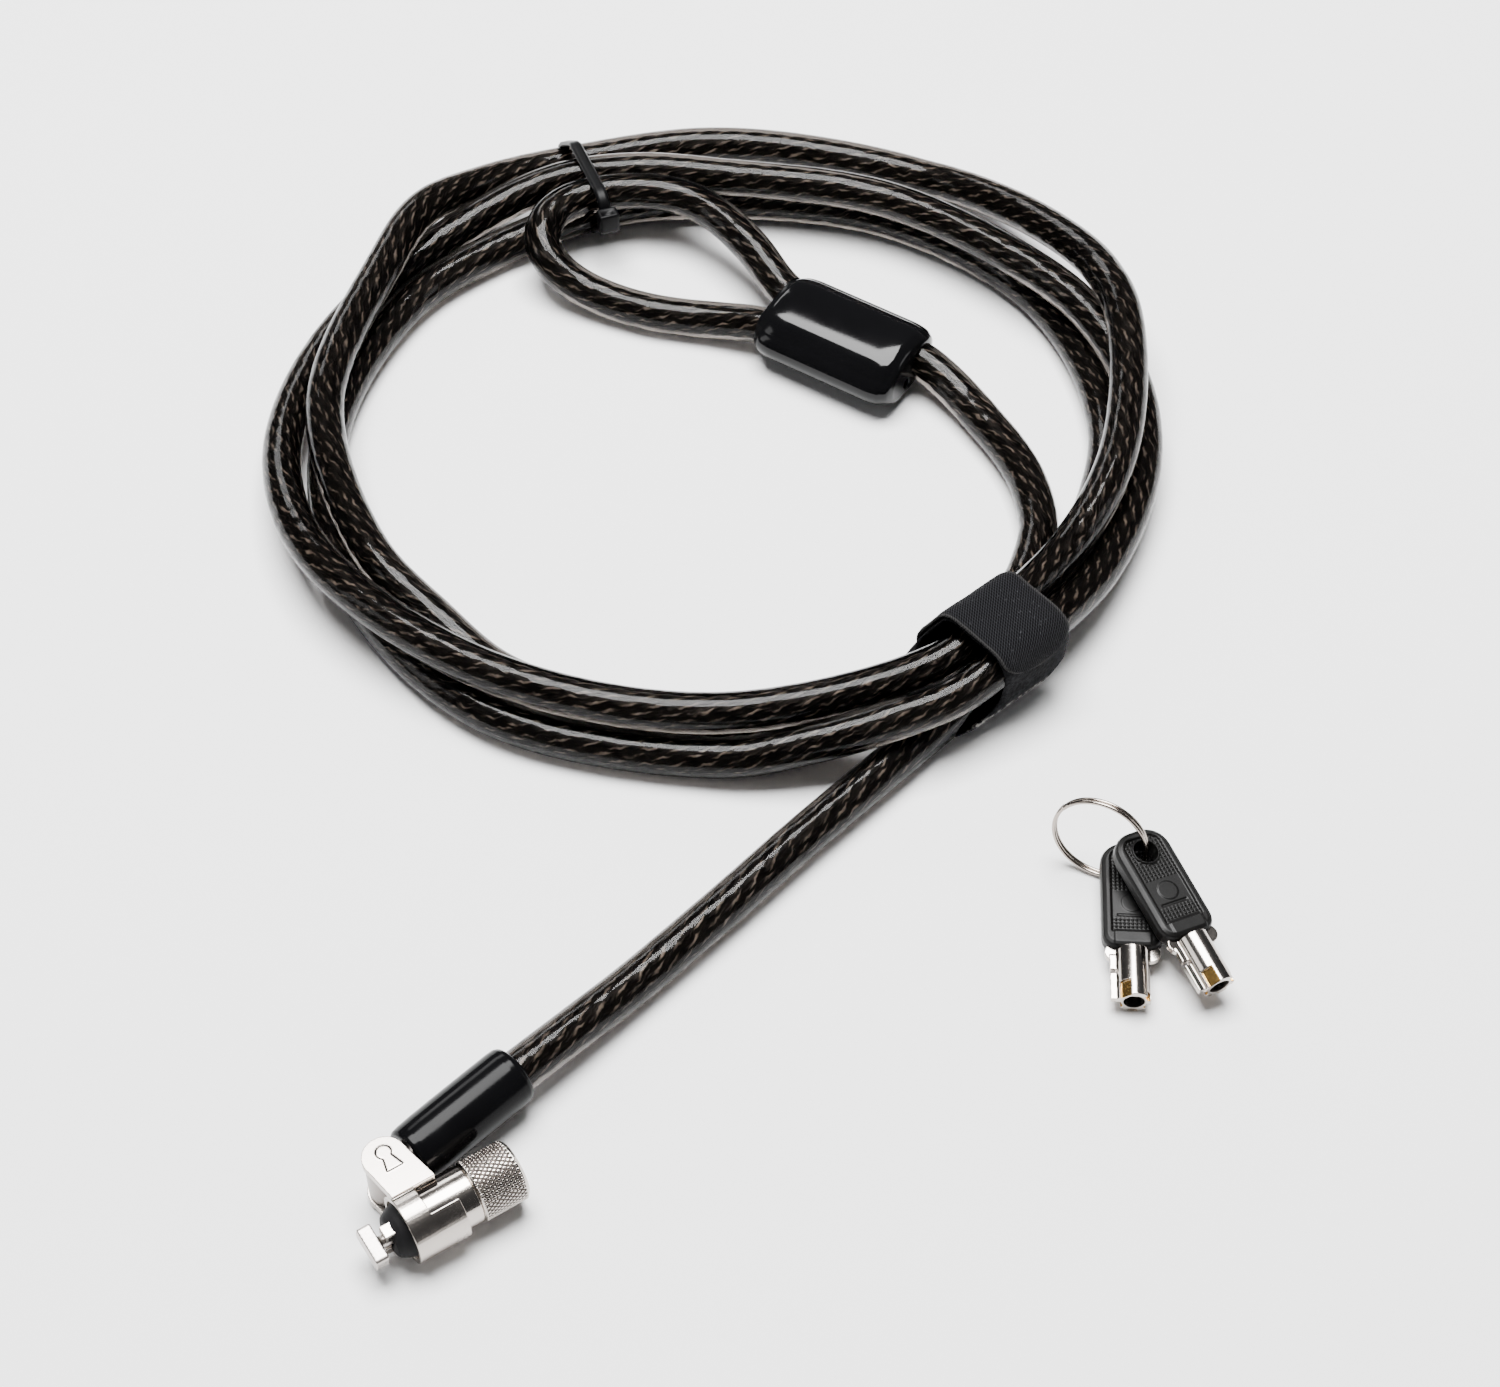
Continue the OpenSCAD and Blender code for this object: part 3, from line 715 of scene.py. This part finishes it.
def wrapped(bundle, lift):
    """Outline round a bundle of strands, anticlockwise from its lowest point, in even steps."""
    radius = CABLE_D / 2 + lift
    corners = []
    for k in range(360):
        a = math.radians(k - 90)
        n = (math.cos(a), math.sin(a))
        far = max(bundle, key=lambda p: p[0] * n[0] + p[1] * n[1])
        corners.append((far[0] + radius * n[0], far[1] + radius * n[1], 0.0))
    corners.append(corners[0])
    line = np.array(corners)
    reach = np.linalg.norm(np.diff(line, axis=0), axis=1).sum()
    return resampled(line, reach / OUTLINE_STEPS)[:, :2]


def coil_frame(angle, shift=0.0):
    turn = math.radians(angle)
    x = (math.cos(turn), math.sin(turn), 0.0)
    origin = np.array((*COIL_CENTRE, 0.0)) + shift * np.array((-x[1], x[0], 0.0))
    return frame_of(origin * MM, x, (0, 0, 1))


def band(line, half, thick, place_of, closed, end_round=0.0, wobble=0.0, across=14):
    """A strap along a line of (distance, height), as one closed skin. For each point, half holds
    its half width and how far its middle lies along the cable. Rims are distances from its edge."""
    line = np.array(line)
    count = len(line)
    step = np.gradient(line, axis=0)
    if closed:
        step = np.roll(line, -1, 0) - np.roll(line, 1, 0)
    step /= np.linalg.norm(step, axis=1)[:, None]
    normal = np.stack([step[:, 1], -step[:, 0]], 1)
    reach = np.concatenate([[0.0], np.cumsum(np.linalg.norm(np.diff(line, axis=0), axis=1))])
    verts, uvs_at, rims_at = [], [], []
    edge = min(0.28, thick * 0.45)
    section = []
    for side in (1, -1):
        for j in range(across + 1):
            w = side * (2 * j / across - 1)
            section.append((w, side))
    for i in range(count):
        left = reach[-1] - reach[i]
        width, middle = half[i]
        if end_round and left < end_round:
            width *= math.sqrt(max(1 - ((end_round - left) / end_round) ** 2.4, 0.02))
        for w, side in section:
            lift = thick / 2 * side * (1 - 0.75 * ramp(abs(w), 1 - edge / width * 1.2, 1.0))
            sway = wobble * noise.noise(Vector((reach[i] * 0.25, w * 2, side)))
            rz = line[i] + normal[i] * (lift + sway)
            verts.append((rz[0], middle + w * width, rz[1]))
            uvs_at.append((reach[i], w * width))
            rims_at.append((min(width * (1 - abs(w)), left if end_round else width), 0.0))
    ring = len(section)
    faces, uvs, rims = [], [], []
    for i in range(count if closed else count - 1):
        n = (i + 1) % count
        for k in range(ring):
            m = (k + 1) % ring
            faces.append((i * ring + k, i * ring + m, n * ring + m, n * ring + k))
            for at in faces[-1]:
                u, v = uvs_at[at]
                if closed and n == 0 and at < ring:
                    u = reach[-1] + (reach[1] - reach[0])
                uvs.append((u, v))
                rims.append(rims_at[at])
    if not closed:
        for i, order in ((0, 1), (count - 1, -1)):
            face = tuple(i * ring + k for k in range(ring))[::order]
            faces.append(face)
            uvs += [uvs_at[at] for at in face]
            rims += [rims_at[at] for at in face]
    world = to_world(place_of, np.array(verts) * MM)
    return world, faces, uvs, rims


weave, loops = weave_material(), loop_material()
strap_frame = coil_frame(STRAP_ANGLE)
# The first layer goes all the way round, wider and drawn down the cable at its low outer side.
lower = wrapped(STRAP_BUNDLE, LOWER_LIFT)[:-1]
spread = ramp(7 - lower[:, 1], 0.0, 6.0)
lower_half = np.stack([7.4 + 2.3 * spread, -1.0 - 6.3 * spread], 1)
v1, f1, uv1, rim1 = band(lower, lower_half, STRAP_THICK, strap_frame, True, wobble=STRAP_WOBBLE)
# The second layer goes over the top, to the rounded free end.
upper = wrapped(STRAP_BUNDLE, UPPER_LIFT)[UPPER_FROM:][::-1]
upper_half = [(STRAP_HALF, -1.0)] * len(upper)
v2, f2, uv2, rim2 = band(upper, upper_half, STRAP_THICK, strap_frame, False, FREE_END_ROUND,
                         wobble=STRAP_WOBBLE)
strap = add_piece("strap_wrap", np.concatenate([v1, v2]), f1 + shifted(f2, len(v1)),
                  "cable", [weave, loops], ("strap",))
set_uvs(strap.data, uv1 + uv2)
# Distances from the edge, which place the painted highlight along the strap's rim.
set_uvs(strap.data, rim1 + rim2, "rim")
set_slots(strap.data, [1] * len(f1) + [0] * len(f2))

tie_frame = coil_frame(TIE_ANGLE, TIE_SHIFT)
tie_line = wrapped(TIE_BUNDLE, TIE_LIFT)[:-1]
tie_half = [(TIE_HALF, 0.0)] * len(tie_line)
tv, tf, tuv, _ = band(tie_line, tie_half, TIE_THICK, tie_frame, True, across=6)
tie = add_piece("tie_band", tv, tf, "cable", [nylon], ("cable_tie",))
set_uvs(tie.data, tuv)


def tie_head():
    """Locking head of the tie: a rounded box with a shallow pocket sunk in its top."""
    mesh = bpy.data.meshes.new("tie_head")
    shape = bmesh.new()
    bmesh.ops.create_cube(shape, size=1.0)
    bmesh.ops.scale(shape, vec=TIE_HEAD_SIZE, verts=shape.verts)
    bmesh.ops.bevel(shape, geom=shape.edges[:], offset=0.55, segments=4, profile=0.6,
                    affect="EDGES")
    top = [f for f in shape.faces if f.normal.z > 0.9 and f.calc_area() > 2]
    bmesh.ops.inset_region(shape, faces=top, thickness=0.45, depth=0.0)
    bmesh.ops.translate(shape, vec=(0, 0, -0.9), verts=list({v for f in top for v in f.verts}))
    shape.to_mesh(mesh)
    shape.free()
    local = np.array([v.co for v in mesh.vertices]) + np.array(TIE_HEAD_AT)
    world = to_world(tie_frame, local * MM)
    mesh.vertices.foreach_set("co", world.ravel())
    piece = bpy.data.objects.new("tie_head", mesh)
    scene.collection.objects.link(piece)
    finish_piece(piece, "cable", [nylon])
    return piece


head_of_tie = tie_head()

# ---- keys ----


def head_height(x, y):
    """Height of a key head's face above its flat top: panel, dots, line, disc and shoulder."""
    half_x, half_y, corner = HEAD_LENGTH / 2, 4.8, 3.2
    qx = np.abs(x - half_x) - (half_x - corner)
    qy = np.abs(y) - (half_y - corner)
    outside = np.hypot(np.maximum(qx, 0), np.maximum(qy, 0))
    depth_in = corner - outside - np.minimum(np.maximum(qx, qy), 0)
    hole = np.hypot(x - HOLE_AT, y)
    panel = ramp(depth_in, 1.35, 1.75) * ramp(hole, 2.1, 2.4)
    shoulder = ramp(x, 16.6, 17.0) * ramp(-np.abs(y), -3.1, -2.7)
    panel = panel * (1 - ramp(x, 17.0, 17.3))
    dotted = np.maximum(ramp(-x, -9.4, -9.0), ramp(x, 14.3, 14.6) * ramp(-x, -16.9, -16.5))
    dots = np.maximum(np.cos(2 * np.pi * (x + y) / 1.3) * np.cos(2 * np.pi * (x - y) / 1.3), 0)
    line = ramp(-np.abs(x - 13.9), -0.28, -0.1) * ramp(-np.abs(y), -2.4, -2.2)
    boss = ramp(-np.hypot(x - 11.6, y), -1.75, -1.55) * 0.12
    return panel * (-0.34 + 0.2 * dots * dotted + boss - 0.14 * line) + 0.16 * shoulder


def key_head(which):
    place_of = key_frame(which)

    def shape(points, normals):
        local = to_local(place_of, points) / MM
        facing = normals @ place_of[1][2]
        lift = head_height(local[:, 0], local[:, 1])
        outer_face = (np.abs(facing) > 0.6) & (np.abs(local[:, 2]) > 1.4)
        local[:, 2] += np.where(outer_face, np.sign(facing) * lift, 0)
        return to_world(place_of, local * MM)

    soft_metal(f"key_{which}_head", f"key_{which}", satin_black, 0.1, 2, shape)


CUT_DEPTH = 2.95


def key_tube(which):
    """Key's tube: nickel outside, brass where the cuts go through the plating, dark bore."""
    place_of = key_frame(which)
    node = f"key_{which}_tube"
    piece = softened(node, node + "_soft", 0.085, 2)
    finish_piece(piece, f"key_{which}", [polished, brass, steel], (node,))
    mesh = piece.data
    count = len(mesh.polygons)
    centre = np.zeros(count * 3)
    mesh.polygons.foreach_get("center", centre)
    normal = np.zeros(count * 3)
    mesh.polygons.foreach_get("normal", normal)
    local = to_local(place_of, centre.reshape(-1, 3)) / MM
    facing = normal.reshape(-1, 3) @ place_of[1].T
    radius = np.hypot(local[:, 1], local[:, 2])
    radial = (facing[:, 1] * local[:, 1] + facing[:, 2] * local[:, 2]) / np.maximum(radius, 1e-6)
    tip = HEAD_LENGTH + TUBE_OUT
    cut = (local[:, 0] > tip - CUT_DEPTH) & (radius < 2.5) & (radius > 1.75) & (facing[:, 0] < 0.8)
    bore = (radius < 1.8) & (radial < -0.3) & (local[:, 0] > HEAD_LENGTH)
    set_slots(mesh, np.where(bore, 2, np.where(cut, 1, 0)))


for number in (1, 2):
    key_head(number)
    key_tube(number)

RING_R = 7.75
WIRE_R = 0.34
RING_GAP = 0.66
RING_LEAN = 83
RING_HEADING = -25


def split_ring():
    """Two turns of wire side by side, stepping over from one to the other."""
    low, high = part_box("key_ring")
    middle = (np.array(low) + np.array(high)) / 2
    turn = turned(RING_HEADING, RING_LEAN)
    line = []
    for k in range(0, 721, 6):
        a = math.radians(k + 150)
        step = float(ramp(np.array(k), 330.0, 390.0)) - 0.5
        local = Vector((RING_R * math.cos(a), RING_R * math.sin(a), step * RING_GAP))
        line.append(tuple(turn @ local))
    line = resampled(np.array(line), 0.4)
    verts, faces, uvs = tube(line, 14, even(WIRE_R))
    piece = add_piece("split_ring", verts * MM + middle, faces, "key_ring", [wire],
                      ("key_ring",))
    set_uvs(piece.data, uvs)


split_ring()

# ---- CAD nodes that stay ----

KEPT = {
    "pivot_pin": steel, "cable_lug": steel, "rope_end": steel, "snap_ring": steel,
    "crimp_sleeve": steel, "driver_pins": steel, "key_pins": steel,
    "pin_housing": brass, "lock_plug": brass, "centre_post": polished,
}
for node, finish in KEPT.items():
    kept = nodes[node]
    kept.data.materials.clear()
    kept.data.materials.append(finish)

# ---- floor and light ----

FLOOR_HALF = 3.0
corners = [(x * FLOOR_HALF, y * FLOOR_HALF, 0) for x, y in ((-1, -1), (1, -1), (1, 1), (-1, 1))]
floor_mesh = bpy.data.meshes.new("floor")
floor_mesh.from_pydata(corners, [], [(0, 1, 2, 3)])
floor = bpy.data.objects.new("floor", floor_mesh)
floor.location.z = -0.0001
floor_mesh.materials.append(floor_material())
scene.collection.objects.link(floor)


def area_light(name, at, aim, size, power):
    data = bpy.data.lights.new(name, "AREA")
    data.shape = "RECTANGLE"
    data.size, data.size_y = size
    data.energy = power
    lamp = bpy.data.objects.new(name, data)
    lamp.location = at
    lamp.rotation_euler = (Vector(aim) - Vector(at)).to_track_quat("-Z", "Y").to_euler()
    scene.collection.objects.link(lamp)


area_light("overhead_box", (-0.06, 0.28, 1.0), (0, 0.07, 0), (0.75, 0.6), 46)
area_light("back_box", (-0.5, 1.3, 0.75), (0, 0.06, 0), (0.55, 0.3), 4)
area_light("left_strip", (-1.1, -0.1, 0.5), (0, 0.05, 0), (0.2, 0.6), 1.2)
area_light("right_strip", (1.1, 0.1, 0.45), (0, 0.05, 0), (0.2, 0.6), 1.2)

world = bpy.data.worlds.new("studio")
world.use_nodes = True
scene.world = world
background = world.node_tree.nodes["Background"]
background.inputs["Color"].default_value = (0.93, 0.95, 1.0, 1)
background.inputs["Strength"].default_value = 0.07
